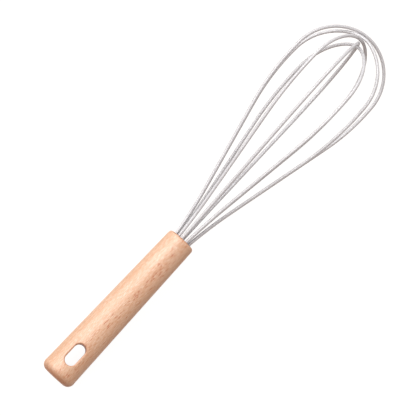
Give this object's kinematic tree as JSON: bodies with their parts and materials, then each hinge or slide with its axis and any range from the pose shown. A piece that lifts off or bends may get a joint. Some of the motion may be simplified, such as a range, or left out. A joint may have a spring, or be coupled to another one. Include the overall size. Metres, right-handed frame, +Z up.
{
  "type": "balloon whisk",
  "caption": "Balloon whisk: silicone-coated wire loops crossing at a rounded tip, potted in a turned, tapered beech handle with a hang slot through its butt.",
  "frame": {"origin": "on the table, at the centre of the footprint of the box round the resting whisk", "axes": "+Z up; +X along the whisk from its butt towards its tip, seen from above; +Y to the left of that. The whisk's own axis rises towards the tip by about 4.6 degrees, because it rests on two of its wires and the lower edge of its butt."},
  "size_m": [0.3115, 0.0668, 0.0674],
  "materials": {
    "beech": "satin oiled beech with fine grain and short flecks",
    "silicone": "smooth satin moulded silicone",
    "steel": "drawn spring wire",
    "guide": "moulded",
    "resin": "cast amber resin"
  },
  "bodies": {
    "root": {"handle": "beech", "wire_guide": "guide", "potting": "resin", "core_1": "steel", "core_2": "steel", "core_3": "steel", "core_4": "steel", "core_5": "steel", "coating_1": "silicone", "coating_2": "silicone", "coating_3": "silicone", "coating_4": "silicone", "coating_5": "silicone"}
  },
  "joints": []
}
